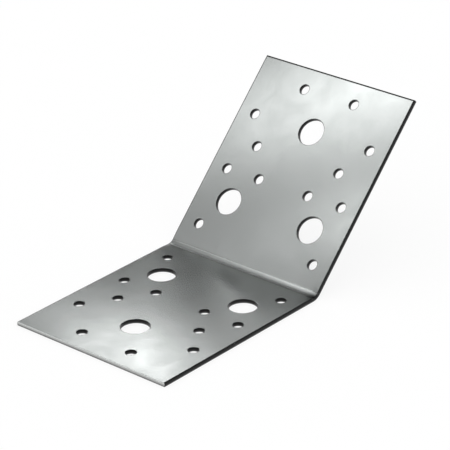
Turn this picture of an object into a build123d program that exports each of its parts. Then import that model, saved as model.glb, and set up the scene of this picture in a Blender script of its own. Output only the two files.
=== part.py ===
from build123d import *
from math import cos, radians, sin, tan
import os

# Obtuse angle bracket, millimetres.
# One rectangle of zinc-coated steel sheet is punched with nail and bolt holes and then folded once.
# It joins two timbers that meet at an obtuse angle, nailed or bolted through both legs.
#
# The origin is the corner where the two bearing faces would meet if the fold were sharp,
# at the middle of the bracket's width. +X runs along the fold. One leg, the foot, lies flat
# and runs towards -Y with its bearing face at Z = 0. The other, the arm, rises towards +Y and +Z.

# The sheet and its fold
sheet_thickness = 2.0
bracket_width = 90.0
leg_length = 104.0  # from the corner of the bearing faces to a leg's free end
angle_between_legs = 135.0
inner_bend_radius = 5.0

# The punched pattern, the same on both legs: rows are counted from the fold outwards
nail_hole_diameter = 5.0
bolt_hole_diameter = 13.5
first_row_distance = 14.0  # from the corner of the bearing faces
row_pitch = 15.0
end_margin = 11.0  # from the last row to the free end
inner_pair_spacing = 30.0
middle_pair_spacing = 50.0
outer_pair_spacing = 70.0

# The press draws the skin down at every cut, on the side that the punch and the shear enter
rolled_edge_radius = 0.35  # along the outline
drawn_rim = 0.3  # around a hole

# The fold turns the arm up from the foot's plane, and takes a setback off the flat of each leg
fold_angle = 180.0 - angle_between_legs
outer_bend_radius = inner_bend_radius + sheet_thickness
setback = outer_bend_radius * tan(radians(fold_angle / 2))

# Each leg's bearing face, with its local Y running from the fold to the free end
arm_normal = (0, sin(radians(fold_angle)), -cos(radians(fold_angle)))
foot_face = Plane(origin=(0, 0, 0), x_dir=(1, 0, 0), z_dir=(0, 0, -1))
arm_face = Plane(origin=(0, 0, 0), x_dir=(-1, 0, 0), z_dir=arm_normal)
leg_faces = [foot_face, arm_face]


def row_distance(row):
    """How far a row of the regular pitch lies from the fold's corner, counting rows from 0."""
    return first_row_distance + row * row_pitch


# A pair of nail holes stands either side of the centre line: its spacing and its row's distance
nail_pairs = [
    (outer_pair_spacing, row_distance(0)),
    (inner_pair_spacing, row_distance(2)),
    (outer_pair_spacing, row_distance(2)),
    (middle_pair_spacing, row_distance(3)),
    (outer_pair_spacing, row_distance(4)),
    (inner_pair_spacing, leg_length - end_margin),
]
nail_holes = [(side * spacing / 2, row) for spacing, row in nail_pairs for side in (-1, 1)]

# Three bolt holes: a pair near the fold and one on the centre line further out
bolt_holes = [
    (-middle_pair_spacing / 2, row_distance(1)),
    (middle_pair_spacing / 2, row_distance(1)),
    (0, row_distance(4)),
]

with BuildPart() as angle_bracket:
    # The folded section, drawn along the bearing faces and thickened inwards
    with BuildSketch(Plane.YZ) as folded_section:
        with BuildLine() as bearing_line:
            foot_line = Line((-leg_length, 0), (-setback, 0))
            fold_arc = JernArc(foot_line @ 1, foot_line % 1, outer_bend_radius, fold_angle)
            PolarLine(fold_arc @ 1, leg_length - setback, direction=fold_arc % 1)
            offset(amount=sheet_thickness, side=Side.LEFT)
        make_face()
    extrude(amount=bracket_width / 2, both=True)

    # The inner skin is the two flats opposite the bearing faces and the hollow of the fold
    faces = angle_bracket.faces()
    flat_skins = ShapeList(
        faces.filter_by(face).sort_by(Axis(face.origin, face.z_dir))[0] for face in leg_faces
    )
    fold_skin = faces.filter_by(GeomType.CYLINDER).sort_by(SortBy.AREA)[0]

    # The shear rolls the skin over along the sheet's outline, which leaves out the seams of the fold
    fold_seams = fold_skin.edges() & flat_skins.edges()
    fillet(fold_skin.edges() + flat_skins.edges() - fold_seams, radius=rolled_edge_radius)

    # Both legs are punched with the same pattern, and each hole's rim is drawn in on the same side
    for leg_face in leg_faces:
        with BuildSketch(leg_face) as punched_pattern:
            with Locations(nail_holes):
                Circle(nail_hole_diameter / 2)
            with Locations(bolt_holes):
                Circle(bolt_hole_diameter / 2)
        extrude(amount=-sheet_thickness, mode=Mode.SUBTRACT)
        punched_rims = angle_bracket.edges(Select.LAST).filter_by(GeomType.CIRCLE)
        leg_axis = Axis(leg_face.origin, leg_face.z_dir)
        chamfer(punched_rims.group_by(leg_axis)[0], length=drawn_rim)

angle_bracket.part.label = "angle_bracket"
os.makedirs("parts", exist_ok=True)
export_step(angle_bracket.part, "parts/angle_bracket.step")
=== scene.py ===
import bmesh
import bpy
from math import copysign, cos, pi, radians, sin, tan
from mathutils import Matrix, Vector


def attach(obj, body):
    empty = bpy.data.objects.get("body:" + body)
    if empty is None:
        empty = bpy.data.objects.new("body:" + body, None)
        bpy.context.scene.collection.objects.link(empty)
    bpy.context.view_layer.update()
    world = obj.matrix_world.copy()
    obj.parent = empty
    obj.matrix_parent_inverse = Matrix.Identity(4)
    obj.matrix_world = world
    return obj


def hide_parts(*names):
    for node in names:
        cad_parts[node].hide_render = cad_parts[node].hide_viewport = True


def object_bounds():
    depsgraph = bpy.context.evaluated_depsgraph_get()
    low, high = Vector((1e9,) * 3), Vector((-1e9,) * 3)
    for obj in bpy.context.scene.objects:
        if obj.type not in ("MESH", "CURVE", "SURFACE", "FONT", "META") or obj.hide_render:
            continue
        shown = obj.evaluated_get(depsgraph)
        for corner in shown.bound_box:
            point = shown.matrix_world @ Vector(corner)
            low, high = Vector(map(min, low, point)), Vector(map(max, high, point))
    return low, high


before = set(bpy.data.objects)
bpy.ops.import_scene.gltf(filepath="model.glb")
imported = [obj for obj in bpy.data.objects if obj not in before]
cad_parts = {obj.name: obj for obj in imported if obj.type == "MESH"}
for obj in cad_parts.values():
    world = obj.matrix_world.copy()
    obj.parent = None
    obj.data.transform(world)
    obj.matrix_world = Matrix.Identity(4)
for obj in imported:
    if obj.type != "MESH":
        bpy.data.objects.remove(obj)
cad_low, cad_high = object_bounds()


# The camera stands where the photograph was taken from: in front, to the right and above,
# with a long lens. It looks at a point just above the fold and leans a little to one side.
camera_azimuth = radians(41.761)
camera_elevation = radians(26.037)
camera_lean = radians(-1.437)
camera_distance = 1.18697
camera_aim = Vector((-0.01148, 0.00098, 0.02042))
focal_length_mm = 202.857

camera_data = bpy.data.cameras.new("camera")
camera_data.lens = focal_length_mm
camera_data.clip_start = 0.01
camera_data.clip_end = 50
camera = bpy.data.objects.new("camera", camera_data)
bpy.context.scene.collection.objects.link(camera)
bpy.context.scene.camera = camera

towards_camera = Vector((
    sin(camera_azimuth) * cos(camera_elevation),
    -cos(camera_azimuth) * cos(camera_elevation),
    sin(camera_elevation),
))
upright = towards_camera.to_track_quat("Z", "Y").to_matrix()
camera_turn = upright @ Matrix.Rotation(camera_lean, 3, "Z")
camera_place = Matrix.Translation(camera_aim + towards_camera * camera_distance)
camera.matrix_world = camera_place @ camera_turn.to_4x4()


# The blank is one rectangle of zinc-coated sheet, drawn flat with its bearing face down. It was
# slit and cropped from a strip. The shear rolls the skin over along the outline, burnishes the
# wall below that, and breaks the rest away, leaning in a little.
sheet_thickness = 0.002
fold_angle = radians(45)
inner_bend_radius = 0.005
leg_length = 0.104  # from the corner of the bearing faces to a leg's free end
rolled_edge = 0.00035
rolled_reach = 1.01 * rolled_edge  # the roll and a hair beyond it
roll_stretch = 2  # how much longer than deep the roll is, along the slit sides
torn_stretch = 2.6  # at the arm's end, which is drawn over furthest
cropped_stretch = 0.5  # at the foot's end, which is cropped crisply
roll_steps = 6
wall_tilt = 0.5  # a face is a wall where its normal points up or down by less than this
break_height = 0.0006
break_lean = 0.00007
sink_width, sink_length = 0.005, 0.008  # where the skin sinks, at each end of the fold
fold_steps = 40
steps_beside_fold = 6
steps_along_side = 10

width = (cad_high - cad_low).x
outer_bend_radius = inner_bend_radius + sheet_thickness
setback = outer_bend_radius * tan(fold_angle / 2)
fold_length = outer_bend_radius * fold_angle
blank_length = 2 * (leg_length - setback) + fold_length


def lines_across():
    """Where lines cross the flat sheet: close together in the fold, wider apart beside it."""
    half_fold = fold_length / 2
    in_fold = [fold_length * (step / fold_steps - 0.5) for step in range(fold_steps + 1)]
    beside = [
        half_fold + (sink_length - half_fold) * step / steps_beside_fold
        for step in range(1, steps_beside_fold + 1)
    ]
    return [-y for y in reversed(beside)] + in_fold + beside


def sheared_sheet():
    """The flat sheet as a closed box, its wall leaning in at the bottom where the metal broke."""
    end = blank_length / 2
    across = lines_across()
    mesh = bmesh.new()
    layers = []
    for height, inset in ((0, break_lean), (break_height, 0), (sheet_thickness, 0)):
        lines = [-end + inset, *across, end - inset]
        sides = (inset - width / 2, width / 2 - inset)
        layers.append([[mesh.verts.new((x, y, height)) for y in lines] for x in sides])
    bearing, skin = layers[0], layers[-1]
    for step in range(len(across) + 1):
        for left, right in (bearing[::-1], skin):
            mesh.faces.new([left[step], right[step], right[step + 1], left[step + 1]])
    for low, high in zip(layers, layers[1:]):
        for step in range(len(across) + 1):
            for side, (start, stop) in enumerate(((step + 1, step), (step, step + 1))):
                mesh.faces.new([low[side][start], low[side][stop], high[side][stop], high[side][start]])
        for step, (start, stop) in ((0, (0, 1)), (len(across) + 1, (1, 0))):
            mesh.faces.new([low[start][step], low[stop][step], high[stop][step], high[start][step]])
    mesh.normal_update()
    return mesh


def roll_skin_over(mesh):
    """Round the skin's outline, then draw the round out to its own length on each side."""
    roll_bottom = sheet_thickness - rolled_reach
    outline = [
        edge for edge in mesh.edges
        if min(corner.co.z for corner in edge.verts) > roll_bottom
        and any(abs(face.normal.z) < wall_tilt for face in edge.link_faces)
    ]
    bmesh.ops.bevel(
        mesh, geom=outline, offset=rolled_edge, segments=roll_steps, profile=0.5, affect="EDGES"
    )
    rolled = [vert for vert in mesh.verts if vert.co.z > roll_bottom]
    for vert in rolled:
        end_stretch = cropped_stretch if vert.co.y < 0 else torn_stretch
        for axis, edge, stretch in ((0, width / 2, roll_stretch), (1, blank_length / 2, end_stretch)):
            inset = edge - abs(vert.co[axis])
            if inset < rolled_reach:
                vert.co[axis] = copysign(edge - stretch * inset, vert.co[axis])


def draw_lines_along(mesh):
    """Lines along both sides, clear of the roll, so that the skin can sink there in a curve."""
    for step in range(2, steps_along_side + 1):
        for side in (-1, 1):
            whole = mesh.verts[:] + mesh.edges[:] + mesh.faces[:]
            line = (side * (width / 2 - sink_width * step / steps_along_side), 0, 0)
            bmesh.ops.bisect_plane(mesh, geom=whole, plane_co=line, plane_no=(1, 0, 0))


def plain_mesh(name, mesh):
    """Mesh data from a mesh that needs no more editing."""
    data = bpy.data.meshes.new(name)
    mesh.to_mesh(data)
    mesh.free()
    return data


def flat_blank():
    """The flat sheet as a closed mesh, rolled over along its outline and ready to bend."""
    mesh = sheared_sheet()
    roll_skin_over(mesh)
    draw_lines_along(mesh)
    return plain_mesh("flat_blank", mesh)


# Both legs are punched with the same pattern: nail holes in pairs and three bolt holes.
# A punch is drawn as the shape that it leaves: a rim rolled in at the skin, a straight wall,
# and a break that opens out towards the bearing face.
nail_hole_radius = 0.0025
bolt_hole_radius = 0.00675
nail_hole_sides, bolt_hole_sides = 48, 96
first_row = 0.014  # from the corner of the bearing faces
row_pitch = 0.015
end_margin = 0.011  # from the last row to the free end
inner_pair, middle_pair, outer_pair = 0.030, 0.050, 0.070
drawn_rim = 0.0002
rim_stretch = 1.6  # how much wider than deep the rim is
hole_break = 0.00002


def row_distance(row):
    """How far a row of the regular pitch lies from the corner, counting rows from 0."""
    return first_row + row * row_pitch


pairs = [  # spacing, distance from the corner, whether the bolt punch makes it
    (outer_pair, row_distance(0), False),
    (middle_pair, row_distance(1), True),
    (inner_pair, row_distance(2), False),
    (outer_pair, row_distance(2), False),
    (middle_pair, row_distance(3), False),
    (outer_pair, row_distance(4), False),
    (inner_pair, leg_length - end_margin, False),
]
leg_pattern = [(side * spacing / 2, row, bolt) for spacing, row, bolt in pairs for side in (-1, 1)]
leg_pattern.append((0, row_distance(4), True))


def hole_pattern():
    """A point for each hole of the flat blank, marked where it takes the bolt punch."""
    from_middle = fold_length / 2 - setback
    holes = [(x, leg * (row + from_middle), bolt) for leg in (-1, 1) for x, row, bolt in leg_pattern]
    data = bpy.data.meshes.new("hole_pattern")
    data.from_pydata([(x, y, 0) for x, y, _ in holes], [], [])
    marks = data.attributes.new("bolt_hole", "BOOLEAN", "POINT")
    marks.data.foreach_set("value", [bolt for _, _, bolt in holes])
    return bpy.data.objects.new("hole_pattern", data)


def punch(name, radius, sides):
    """The round form that a punch takes out of the sheet, standing on the bearing face."""
    rim_width = rim_stretch * drawn_rim
    turns = [pi / 2 * step / roll_steps for step in range(roll_steps)]
    rim = [(rim_width * (1 - cos(turn)), drawn_rim * (1 - sin(turn))) for turn in turns]
    outline = [(radius + 2 * hole_break, -break_height), (radius, break_height)]
    outline += [(radius + spread, sheet_thickness - drop) for spread, drop in rim]
    # The last stretch runs on through the skin and ends as far above it as it began below
    last_spread, last_drop = rim[-1]
    outline.append((radius + 2 * rim_width - last_spread, sheet_thickness + last_drop))

    mesh = bmesh.new()
    angles = [2 * pi * side / sides for side in range(sides)]
    rings = [
        [mesh.verts.new((reach * cos(angle), reach * sin(angle), height)) for angle in angles]
        for reach, height in outline
    ]
    for low, high in zip(rings, rings[1:]):
        for side in range(sides):
            after = (side + 1) % sides
            mesh.faces.new([low[side], low[after], high[after], high[side]])
    mesh.faces.new(rings[0][::-1])
    mesh.faces.new(rings[-1])
    return bpy.data.objects.new(name, plain_mesh(name, mesh))


# The punched blank is folded once in a press brake: the middle strip wraps round the bend, the
# arm swings up with it and the foot stays flat. At both ends of the fold the skin sinks, because
# the metal is squeezed out of shape there.
sink_depth = 0.0003
level_tilt = 0.9999  # a face is level where its normal points up or down by more than this
crease_angle = radians(28)


def add(tree, kind, inputs=(), **settings):
    """A new node with its settings, its inputs linked to sockets or given plain values."""
    node = tree.nodes.new(kind)
    for name, value in settings.items():
        setattr(node, name, value)
    for key, value in dict(inputs).items():
        if isinstance(value, bpy.types.NodeSocket):
            tree.links.new(value, node.inputs[key])
        else:
            node.inputs[key].default_value = value
    return node


def maths(tree, operation, *values):
    """The result of a maths node on one, two or three values."""
    return add(tree, "ShaderNodeMath", enumerate(values), operation=operation).outputs[0]


def product(tree, result, *values):
    """Several values multiplied together."""
    for value in values:
        result = maths(tree, "MULTIPLY", result, value)
    return result


def axes(tree, vector):
    """The X, Y and Z of a vector."""
    return add(tree, "ShaderNodeSeparateXYZ", {0: vector}).outputs


def ramp(tree, value, start, stop, low=0, high=1, curve="LINEAR"):
    """What goes from low to high while a value goes from start to stop, and stays put beyond."""
    return add(tree, "ShaderNodeMapRange", {
        "Value": value, "From Min": start, "From Max": stop, "To Min": low, "To Max": high,
    }, interpolation_type=curve).outputs[0]


def was_noted(tree, name):
    """Whether a yes was noted under that name."""
    return add(
        tree, "GeometryNodeInputNamedAttribute", {"Name": name}, data_type="BOOLEAN"
    ).outputs["Attribute"]


def punched_blank(tree, given):
    """The flat blank with the nail punch and the bolt punch taken out at their points."""
    points = add(tree, "GeometryNodeObjectInfo", {"Object": given["Hole Pattern"]}).outputs["Geometry"]
    is_bolt = was_noted(tree, "bolt_hole")
    is_nail = add(tree, "FunctionNodeBooleanMath", {0: is_bolt}, operation="NOT").outputs[0]
    punches = tree.nodes.new("GeometryNodeJoinGeometry")
    for tool, chosen in (("Nail Punch", is_nail), ("Bolt Punch", is_bolt)):
        shape = add(tree, "GeometryNodeObjectInfo", {"Object": given[tool]}).outputs["Geometry"]
        placed = add(
            tree, "GeometryNodeInstanceOnPoints", {"Points": points, "Selection": chosen, "Instance": shape}
        )
        tree.links.new(placed.outputs["Instances"], punches.inputs[0])
    tools = add(tree, "GeometryNodeRealizeInstances", {0: punches.outputs[0]}).outputs[0]
    return add(
        tree, "GeometryNodeMeshBoolean", {"Mesh 1": given["Blank"], "Mesh 2": tools},
        operation="DIFFERENCE", solver="MANIFOLD",
    ).outputs["Mesh"]


def cut_wall(tree, given, spot, normal):
    """Whether a face is cut metal: a wall, and below the roll of the skin."""
    roll_bottom = maths(tree, "SUBTRACT", given["Sheet Thickness"], given["Rolled Edge"])
    is_wall = maths(tree, "LESS_THAN", maths(tree, "ABSOLUTE", normal["Z"]), wall_tilt)
    return product(tree, is_wall, maths(tree, "LESS_THAN", spot["Z"], roll_bottom))


def cropped_end(tree, given, spot, normal):
    """Whether a face belongs to the foot's end, which is cropped crisply."""
    across, along = (maths(tree, "ABSOLUTE", normal[axis]) for axis in ("X", "Y"))
    starts = maths(tree, "MULTIPLY", given["Cropped From"], -1)
    faces_end = maths(tree, "GREATER_THAN", along, across)
    return product(tree, faces_end, maths(tree, "LESS_THAN", spot["Y"], starts))


def shaded(tree, given, sheet, spot, normal):
    """The sheet with flats that stay flat to their rims, and with smooth rims and a smooth fold."""
    is_level = maths(tree, "GREATER_THAN", maths(tree, "ABSOLUTE", normal["Z"]), level_tilt)
    in_leg = maths(tree, "GREATER_THAN", maths(tree, "ABSOLUTE", spot["Y"]), given["Sink Length"])
    is_smooth = maths(tree, "SUBTRACT", 1, product(tree, is_level, in_leg))
    smooth = add(
        tree, "GeometryNodeSetShadeSmooth", {"Geometry": sheet, "Shade Smooth": is_smooth}, domain="FACE"
    ).outputs[0]
    edge_angle = tree.nodes.new("GeometryNodeInputMeshEdgeAngle").outputs["Unsigned Angle"]
    is_crease = maths(tree, "GREATER_THAN", edge_angle, crease_angle)
    return add(
        tree, "GeometryNodeSetShadeSmooth",
        {"Geometry": smooth, "Selection": is_crease, "Shade Smooth": False}, domain="EDGE",
    ).outputs[0]


def squeezed_height(tree, given, spot, depth):
    """How high a point lies in the flat sheet once the skin has sunk at the ends of the fold."""
    from_side = maths(tree, "SUBTRACT", given["Half Width"], maths(tree, "ABSOLUTE", spot["X"]))
    from_fold = maths(tree, "ABSOLUTE", spot["Y"])
    near_side = ramp(tree, from_side, 0, given["Sink Width"], 1, 0)
    near_fold = ramp(tree, from_fold, 0, given["Sink Length"], 1, 0, curve="SMOOTHSTEP")
    sinking = product(tree, near_fold, depth, maths(tree, "POWER", near_side, 2), given["Sink Depth"])
    return maths(tree, "SUBTRACT", spot["Z"], sinking)


def folded_place(tree, given, spot, height):
    """Where a point lies once the middle strip is wrapped round the bend's axis."""
    half_fold = maths(tree, "MULTIPLY", given["Fold Length"], 0.5)
    from_start = maths(tree, "ADD", spot["Y"], half_fold)
    turn = ramp(tree, from_start, 0, given["Fold Length"], 0, given["Fold Angle"])
    wrapped = add(tree, "ShaderNodeClamp", {
        "Value": spot["Y"], "Min": maths(tree, "MULTIPLY", half_fold, -1), "Max": half_fold,
    }).outputs[0]
    spoke = add(tree, "ShaderNodeCombineXYZ", {
        "X": spot["X"],
        "Y": maths(tree, "SUBTRACT", spot["Y"], wrapped),
        "Z": maths(tree, "SUBTRACT", height, given["Outer Bend Radius"]),
    }).outputs[0]
    swung = add(
        tree, "ShaderNodeVectorRotate", {"Vector": spoke, "Angle": turn}, rotation_type="X_AXIS"
    ).outputs[0]
    bend_axis = add(tree, "ShaderNodeCombineXYZ", {
        "Y": maths(tree, "MULTIPLY", given["Setback"], -1), "Z": given["Outer Bend Radius"],
    }).outputs[0]
    return add(tree, "ShaderNodeVectorMath", {0: swung, 1: bend_axis}, operation="ADD").outputs[0]


def punching_and_folding():
    """The tree that punches the flat blank at every point of the pattern and folds it once."""
    tree = bpy.data.node_groups.new("punching_and_folding", "GeometryNodeTree")
    for name, kind in (
        ("Blank", "NodeSocketGeometry"),
        ("Hole Pattern", "NodeSocketObject"),
        ("Nail Punch", "NodeSocketObject"),
        ("Bolt Punch", "NodeSocketObject"),
        ("Sheet Thickness", "NodeSocketFloat"),
        ("Rolled Edge", "NodeSocketFloat"),
        ("Cropped From", "NodeSocketFloat"),
        ("Half Width", "NodeSocketFloat"),
        ("Sink Depth", "NodeSocketFloat"),
        ("Sink Width", "NodeSocketFloat"),
        ("Sink Length", "NodeSocketFloat"),
        ("Fold Angle", "NodeSocketFloat"),
        ("Fold Length", "NodeSocketFloat"),
        ("Outer Bend Radius", "NodeSocketFloat"),
        ("Setback", "NodeSocketFloat"),
        ("Zinc Skin", "NodeSocketMaterial"),
        ("Cut Steel", "NodeSocketMaterial"),
    ):
        tree.interface.new_socket(name, in_out="INPUT", socket_type=kind)
    tree.interface.new_socket("Bracket", in_out="OUTPUT", socket_type="NodeSocketGeometry")
    given = tree.nodes.new("NodeGroupInput").outputs
    flat_place = tree.nodes.new("GeometryNodeInputPosition").outputs[0]
    spot = axes(tree, flat_place)
    normal = axes(tree, tree.nodes.new("GeometryNodeInputNormal").outputs[0])
    depth = maths(tree, "DIVIDE", spot["Z"], given["Sheet Thickness"])

    # The finish has to know where each point lay in the flat sheet, and which faces are cut
    sheet = punched_blank(tree, given)
    for name, kind, domain, value in (
        ("sheet_depth", "FLOAT", "POINT", depth),
        ("flat_place", "FLOAT_VECTOR", "POINT", flat_place),
        ("cut_metal", "BOOLEAN", "FACE", cut_wall(tree, given, spot, normal)),
        ("cropped_end", "BOOLEAN", "FACE", cropped_end(tree, given, spot, normal)),
    ):
        sheet = add(
            tree, "GeometryNodeStoreNamedAttribute", {"Geometry": sheet, "Name": name, "Value": value},
            data_type=kind, domain=domain,
        ).outputs[0]

    sheet = shaded(tree, given, sheet, spot, normal)
    place = folded_place(tree, given, spot, squeezed_height(tree, given, spot, depth))
    folded = add(tree, "GeometryNodeSetPosition", {"Geometry": sheet, "Position": place}).outputs[0]
    real = add(tree, "GeometryNodeRealizeInstances", {0: folded}).outputs[0]
    coated = add(
        tree, "GeometryNodeSetMaterial", {"Geometry": real, "Material": given["Zinc Skin"]}
    ).outputs[0]
    finished = add(tree, "GeometryNodeSetMaterial", {
        "Geometry": coated, "Selection": was_noted(tree, "cut_metal"), "Material": given["Cut Steel"],
    }).outputs[0]
    add(tree, "NodeGroupOutput", {0: finished})
    return tree


# The skin is satin zinc, a little cool, with faint clouds, rolled grain and a scatter of dull
# specks. Where a hole, a slit side or the arm's end draws it over, its rim is dark: partly torn coating,
# partly painted shade.
dull_zinc, bright_zinc = (0.520, 0.546, 0.536, 1), (0.680, 0.704, 0.694, 1)
# the nose track's dull tone, also used as painted shade along the fold
rubbed_and_shaded_zinc = (0.40, 0.416, 0.408, 1)
speck_grey = (0.36, 0.37, 0.36, 1)
# dark rims: partly torn coating, partly painted shade
torn_and_shaded_black = (0.03, 0.031, 0.03, 1)
# painted shade at the right end of the fold
painted_corner_shade = (0.02, 0.021, 0.02, 1)
grain_tone, cloud_tone, speck_tone = 0.1, 0.9, 0.05
grain_run = (1, 0.05, 1)  # the grain is twenty times longer along the sheet than across it
speck_start, speck_full = 0.68, 0.76
torn_shade_start, torn_shade_full = 0.999, 0.985  # shares of the sheet's thickness
zinc_roughness = 0.24
cloud_polish = 0.08  # how much smoother the light clouds are
bend_roughness = 0.1
speck_roughness = 0.04
relief_depth = 0.00003
grain_relief = 0.005  # beside the clouds, which count as one

# The nose of the press brake leaves a dull track along the lower side of the fold, fading at the left
# end, and its darker colour is also painted shade. Along the upper side a band of painted shade darkens
# the zinc, most at the left, and at the right end of the fold a patch of painted shade darkens the skin.
nose_track, nose_width, nose_soft = -0.0023, 0.0034, 0.0008
nose_roughness = 0.25
nose_fade = 0.005
shaded_brow, brow_width, brow_soft = 0.0016, 0.0030, 0.0012
brow_shade_change = 0.02  # either side of the middle, from full painted shade to least
least_brow_shade = 0.15
corner_shade_place = (width / 2, -0.002, sheet_thickness)
corner_shade_size = (0.008, 0.006, 0.01)
corner_shade_strength = 1.3


def sheet_marks():
    """The marks on both metals, laid out on the flat sheet: soft clouds, rolled grain, fine specks."""
    group = bpy.data.node_groups.new("sheet_marks", "ShaderNodeTree")
    for name in ("Cloud Scale", "Grain Scale", "Speck Scale"):
        group.interface.new_socket(name, in_out="INPUT", socket_type="NodeSocketFloat")
    for name in ("Clouds", "Grain", "Specks"):
        group.interface.new_socket(name, in_out="OUTPUT", socket_type="NodeSocketFloat")
    given = group.nodes.new("NodeGroupInput").outputs
    place = add(group, "ShaderNodeAttribute", attribute_name="flat_place").outputs["Vector"]
    clouds = add(group, "ShaderNodeTexNoise", {
        "Vector": place, "Scale": given["Cloud Scale"], "Detail": 3, "Roughness": 0.55, "Distortion": 0.4,
    }).outputs["Fac"]
    drawn_out = add(
        group, "ShaderNodeVectorMath", {0: place, 1: grain_run}, operation="MULTIPLY"
    ).outputs[0]
    grain = add(group, "ShaderNodeTexNoise", {
        "Vector": drawn_out, "Scale": given["Grain Scale"], "Detail": 2, "Roughness": 0.6,
    }).outputs["Fac"]
    pits = add(group, "ShaderNodeTexNoise", {
        "Vector": place, "Scale": given["Speck Scale"], "Detail": 1,
    }).outputs["Fac"]
    specks = ramp(group, pits, speck_start, speck_full)
    add(group, "NodeGroupOutput", {"Clouds": clouds, "Grain": grain, "Specks": specks})
    return group


shared_marks = sheet_marks()


def place_marks(nodes, clouds, grain, specks):
    """The shared marks in one material, with that material's own scales."""
    marked = nodes.nodes.new("ShaderNodeGroup")
    marked.node_tree = shared_marks
    for name, scale in (("Cloud Scale", clouds), ("Grain Scale", grain), ("Speck Scale", specks)):
        marked.inputs[name].default_value = scale
    return marked.outputs


def noted(nodes, name, output="Fac"):
    """What was noted on the flat sheet under that name."""
    return add(nodes, "ShaderNodeAttribute", attribute_name=name).outputs[output]


def blend(nodes, factor, dark, light):
    """A colour between two colours or sockets."""
    return add(nodes, "ShaderNodeMix", {0: factor, 6: dark, 7: light}, data_type="RGBA").outputs[2]


def band(nodes, across, middle, breadth, soft):
    """One inside a band across the fold, fading to nought over its soft edges."""
    off = maths(nodes, "ABSOLUTE", maths(nodes, "SUBTRACT", across, middle))
    return ramp(nodes, off, breadth / 2, breadth / 2 - soft, curve="SMOOTHSTEP")


def metal(name):
    """A new material of bare metal, with its nodes and its shader."""
    material = bpy.data.materials.new(name)
    material.use_nodes = True
    nodes = material.node_tree
    shader = nodes.nodes["Principled BSDF"]
    shader.inputs["Metallic"].default_value = 1
    return material, nodes, shader


def finish(nodes, shader, colour, roughness, relief):
    """Give a metal's shader its colour, its roughness and its fine relief."""
    bump = add(nodes, "ShaderNodeBump", {"Height": relief, "Strength": 1, "Distance": relief_depth})
    for name, value in (("Base Color", colour), ("Roughness", roughness), ("Normal", bump.outputs[0])):
        nodes.links.new(value, shader.inputs[name])


def zinc_skin():
    """The zinc with its clouds, grain and specks, its rims dark from tearing and painted shade, and the track
    and painted shade along the fold.
    """
    material, nodes, shader = metal("zinc_skin")
    marks = place_marks(nodes, clouds=55, grain=1400, specks=900)
    cloudy = maths(nodes, "MULTIPLY", marks["Clouds"], cloud_tone)
    tone = maths(nodes, "MULTIPLY_ADD", marks["Grain"], grain_tone, cloudy)
    colour = blend(nodes, tone, dull_zinc, bright_zinc)
    colour = blend(nodes, maths(nodes, "MULTIPLY", marks["Specks"], speck_tone), colour, speck_grey)

    depth = noted(nodes, "sheet_depth")
    on_skin = maths(nodes, "GREATER_THAN", depth, 0.5)
    not_cropped = maths(nodes, "SUBTRACT", 1, noted(nodes, "cropped_end"))
    # A rim drawn over at a hole, a slit side or the arm's end turns dark: partly torn coating, partly painted
    # shade
    torn_and_shaded = product(nodes, ramp(nodes, depth, torn_shade_start, torn_shade_full), on_skin, not_cropped)
    colour = blend(nodes, torn_and_shaded, colour, torn_and_shaded_black)

    place = noted(nodes, "flat_place", "Vector")
    spot = axes(nodes, place)
    near_nose = band(nodes, spot["Y"], nose_track, nose_width, nose_soft)
    pressed = ramp(nodes, spot["X"], -width / 2, nose_fade - width / 2, curve="SMOOTHSTEP")
    track_and_shade = product(nodes, near_nose, pressed, on_skin)
    # The nose track is a dull tool mark, and its darker colour is also painted shade on the fold
    colour = blend(nodes, track_and_shade, colour, rubbed_and_shaded_zinc)
    # A band of painted shade along the upper side of the fold, most at the left
    brow_shading = ramp(nodes, spot["X"], brow_shade_change, -brow_shade_change, low=least_brow_shade)
    painted_brow_shade = product(nodes, band(nodes, spot["Y"], shaded_brow, brow_width, brow_soft), on_skin, brow_shading)
    colour = blend(nodes, painted_brow_shade, colour, rubbed_and_shaded_zinc)
    # A patch of painted shade at the right end of the fold
    from_corner_shade = add(
        nodes, "ShaderNodeMapping", {"Vector": place, "Location": corner_shade_place, "Scale": corner_shade_size},
        vector_type="TEXTURE",
    ).outputs[0]
    corner_shade = add(
        nodes, "ShaderNodeTexGradient", {"Vector": from_corner_shade}, gradient_type="QUADRATIC_SPHERE"
    ).outputs["Fac"]
    colour = blend(nodes, maths(nodes, "MULTIPLY", corner_shade, corner_shade_strength), colour, painted_corner_shade)

    in_bend = ramp(nodes, maths(nodes, "ABSOLUTE", spot["Y"]), fold_length / 2, fold_length / 4)
    bent = maths(nodes, "MULTIPLY_ADD", track_and_shade, nose_roughness, bend_roughness)
    clouded = maths(nodes, "MULTIPLY_ADD", marks["Clouds"], -cloud_polish, zinc_roughness)
    roughness = maths(nodes, "ADD", maths(nodes, "MULTIPLY", in_bend, bent), clouded)
    roughness = maths(nodes, "MULTIPLY_ADD", marks["Specks"], speck_roughness, roughness)
    relief = maths(nodes, "MULTIPLY_ADD", marks["Grain"], grain_relief, marks["Clouds"])
    finish(nodes, shader, colour, roughness, relief)
    return material


# Where the sheet was cut it is bare steel, painted nearly black as shade at the holes, the slit sides
# and the arm's end, and painted bright as the lit copy at the foot's crisply cropped end. The shear
# burnishes the upper part of the wall and tears the lower part off rough.
# the shaded copy of the cut steel, then the lit copy for the foot's end, bright at the top and darker towards
# the bottom
shaded_burnished_steel, shaded_broken_steel = (0.018, 0.018, 0.018, 1), (0.08, 0.081, 0.08, 1)
lit_end_low, lit_end_high = (0.02, 0.02, 0.02, 1), (0.58, 0.59, 0.58, 1)
broken_up_to, burnished_from = 0.35, 0.6  # shares of the sheet's thickness
raggedness = 0.3
broken_roughness = 0.55
burnished_polish = 0.25  # how much smoother the burnished part is


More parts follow.
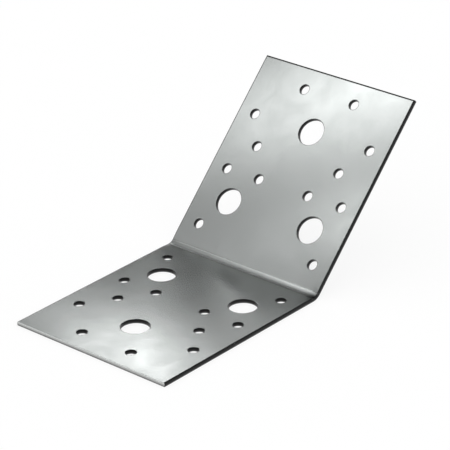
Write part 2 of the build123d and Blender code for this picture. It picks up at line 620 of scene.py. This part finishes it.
def cut_steel():
    """Bare cut steel, burnished above and torn below, with a ragged line between; painted shade makes it
    nearly black, but the foot's end is painted lit.
    """
    material, nodes, shader = metal("cut_steel")
    marks = place_marks(nodes, clouds=120, grain=2000, specks=1500)
    ragged = maths(nodes, "MULTIPLY_ADD", marks["Grain"], raggedness, noted(nodes, "sheet_depth"))
    burnished = ramp(nodes, ragged, broken_up_to, burnished_from)
    # Painted shade: the holes, slit sides and arm's end nearly black
    dark = blend(nodes, burnished, shaded_broken_steel, shaded_burnished_steel)
    # Painted light: the foot's cropped end, bright at the top and darker towards the bottom
    bright = blend(nodes, ragged, lit_end_low, lit_end_high)
    colour = blend(nodes, noted(nodes, "cropped_end"), dark, bright)
    roughness = maths(nodes, "MULTIPLY_ADD", burnished, -burnished_polish, broken_roughness)
    finish(nodes, shader, colour, roughness, marks["Grain"])
    return material


# The bracket is the blank, punched, folded and finished. It is one piece of sheet, and it takes
# the place of the frame's plain solid.
zinc, steel = zinc_skin(), cut_steel()
blank = flat_blank()
blank.materials.append(zinc)
bracket = bpy.data.objects.new("folded_bracket", blank)
bpy.context.scene.collection.objects.link(bracket)
tree = punching_and_folding()
press = bracket.modifiers.new("press", "NODES")
press.node_group = tree
settings = {
    "Hole Pattern": hole_pattern(),
    "Nail Punch": punch("nail_punch", nail_hole_radius, nail_hole_sides),
    "Bolt Punch": punch("bolt_punch", bolt_hole_radius, bolt_hole_sides),
    "Sheet Thickness": sheet_thickness,
    "Rolled Edge": rolled_edge,
    "Cropped From": blank_length / 2 - rolled_reach,
    "Half Width": width / 2,
    "Sink Depth": sink_depth,
    "Sink Width": sink_width,
    "Sink Length": sink_length,
    "Fold Angle": fold_angle,
    "Fold Length": fold_length,
    "Outer Bend Radius": outer_bend_radius,
    "Setback": setback,
    "Zinc Skin": zinc,
    "Cut Steel": steel,
}
for item in tree.interface.items_tree:
    if item.in_out == "INPUT" and item.name in settings:
        press[item.identifier] = settings[item.name]
pressed_bracket = bracket.evaluated_get(bpy.context.evaluated_depsgraph_get())
finished_mesh = bpy.data.meshes.new_from_object(pressed_bracket)
bracket.modifiers.clear()
bracket.data = finished_mesh
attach(bracket, "root")
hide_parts("angle_bracket")


# The floor is a plain pale sheet of paper. It shines a little by itself, so that it is white
# wherever nothing shades it, to the camera and in the metal, and it keeps the soft shadow.
floor_reach = 6
floor_shine = 0.8
floor_paper = 0.2
white = (1, 1, 1, 1)


def flat_sheet(name, left, right, front, back):
    """A flat rectangular sheet in the scene, facing up."""
    corners = [(left, front, 0), (right, front, 0), (right, back, 0), (left, back, 0)]
    data = bpy.data.meshes.new(name)
    data.from_pydata(corners, [], [(0, 1, 2, 3)])
    sheet = bpy.data.objects.new(name, data)
    bpy.context.scene.collection.objects.link(sheet)
    return sheet


def empty_material(name):
    """A new material without any nodes."""
    material = bpy.data.materials.new(name)
    material.use_nodes = True
    material.node_tree.nodes.clear()
    return material


floor = flat_sheet("floor", -floor_reach, floor_reach, -floor_reach, floor_reach)

paper = empty_material("floor_paper")
paper_nodes = paper.node_tree
rays = add(paper_nodes, "ShaderNodeLightPath").outputs
mirrored = maths(paper_nodes, "MAXIMUM", rays["Is Glossy Ray"], rays["Is Transmission Ray"])
looked_at = maths(paper_nodes, "MAXIMUM", rays["Is Camera Ray"], mirrored)
matt = add(paper_nodes, "ShaderNodeBsdfDiffuse", {"Color": (floor_paper, floor_paper, floor_paper, 1)})
shine = add(paper_nodes, "ShaderNodeEmission", {
    "Color": white, "Strength": maths(paper_nodes, "MULTIPLY", looked_at, floor_shine),
})
both = add(paper_nodes, "ShaderNodeAddShader", {0: matt.outputs[0], 1: shine.outputs[0]})
add(paper_nodes, "ShaderNodeOutputMaterial", {"Surface": both.outputs[0]})
floor.data.materials.append(paper)


# A tall card leans over the bracket from the left, where both legs mirror it. It is dull grey
# with soft bright places and a dark one, and only the metal sees it, so it lights nothing else.
# Where the metal mirrors itself first, the card is one calm grey: the foot is dark by the fold.
card_distance = 0.35
card_width, card_rise, card_drop = 1.6, 0.75, 0.32
card_facing = Vector((-0.726, 0.140, 0.673)).normalized()
card_grey = 0.356
card_slope = -0.75
card_least_grey = 0.27
twice_mirrored_grey = 0.25
glows = (  # name, place on the card, reach along and up, turn in degrees, strength
    ("arm_top", (-0.10, 0.14), (0.07, 0.23), -20, 2.7),
    ("arm_side", (-0.195, 0.155), (0.02, 0.14), -22, 4.4),
    ("foot_strip", (0.128, -0.028), (0.106, 0.024), 32.5, 8.8),
    ("foot_shade", (0.13, -0.04), (0.085, 0.265), -112, -1.35),
    ("foot_corner", (0.22, -0.05), (0.025, 0.035), 24, 2.2),
    ("foot_right", (0.295, 0.025), (0.105, 0.06), 22, 2.7),
    ("foot_front", (0.165, -0.07), (0.02, 0.02), -40, 2.1),
    ("front_roll", (-0.40, 0.04), (0.20, 0.20), 0, 2.0),
    ("fold_line", (-0.01, 0.10), (0.06, 0.10), 0, 1.3),
)

card = flat_sheet("mirrored_card", -card_width / 2, card_width / 2, -card_drop, card_rise)
card_across = card_facing.cross(Vector((0, 0, 1))).normalized()
card_up = card_across.cross(card_facing)
card_turn = Matrix((card_across, card_up, -card_facing)).transposed()
card.matrix_world = Matrix.Translation(card_facing * card_distance) @ card_turn.to_4x4()
for sight in ("camera", "diffuse", "transmission", "volume_scatter", "shadow"):
    setattr(card, f"visible_{sight}", False)

glowing = empty_material("mirrored_card")
card_nodes = glowing.node_tree
on_card = add(card_nodes, "ShaderNodeTexCoord").outputs["Object"]
sloping = maths(card_nodes, "MULTIPLY_ADD", axes(card_nodes, on_card)["Y"], card_slope, card_grey)
level = maths(card_nodes, "MAXIMUM", sloping, card_least_grey)
for name, place, reach, turn, strength in glows:
    spot = add(
        card_nodes, "ShaderNodeMapping",
        {"Vector": on_card, "Location": (*place, 0), "Rotation": (0, 0, radians(turn)), "Scale": (*reach, 1)},
        vector_type="TEXTURE", name=name,
    ).outputs[0]
    soft = add(
        card_nodes, "ShaderNodeTexGradient", {"Vector": spot}, gradient_type="QUADRATIC_SPHERE"
    ).outputs["Fac"]
    level = maths(card_nodes, "MULTIPLY_ADD", soft, strength, level)
turns = add(card_nodes, "ShaderNodeLightPath").outputs["Ray Depth"]
turned_twice = maths(card_nodes, "GREATER_THAN", turns, 1)
level = add(card_nodes, "ShaderNodeMix", {0: turned_twice, 2: level, 3: twice_mirrored_grey}).outputs[0]
light = add(card_nodes, "ShaderNodeEmission", {
    "Color": white, "Strength": maths(card_nodes, "MAXIMUM", level, 0),
})
add(card_nodes, "ShaderNodeOutputMaterial", {"Surface": light.outputs[0]})
card.data.materials.append(glowing)


# All round it is white, which lights the bracket softly from every side. There is no lamp, and
# brightness is shown as it is, without the curve of a film.
world = bpy.data.worlds.new("studio")
bpy.context.scene.world = world
world.use_nodes = True
world.node_tree.nodes["Background"].inputs["Color"].default_value = white
world.node_tree.nodes["Background"].inputs["Strength"].default_value = 1.0

bpy.context.scene.view_settings.view_transform = "Standard"
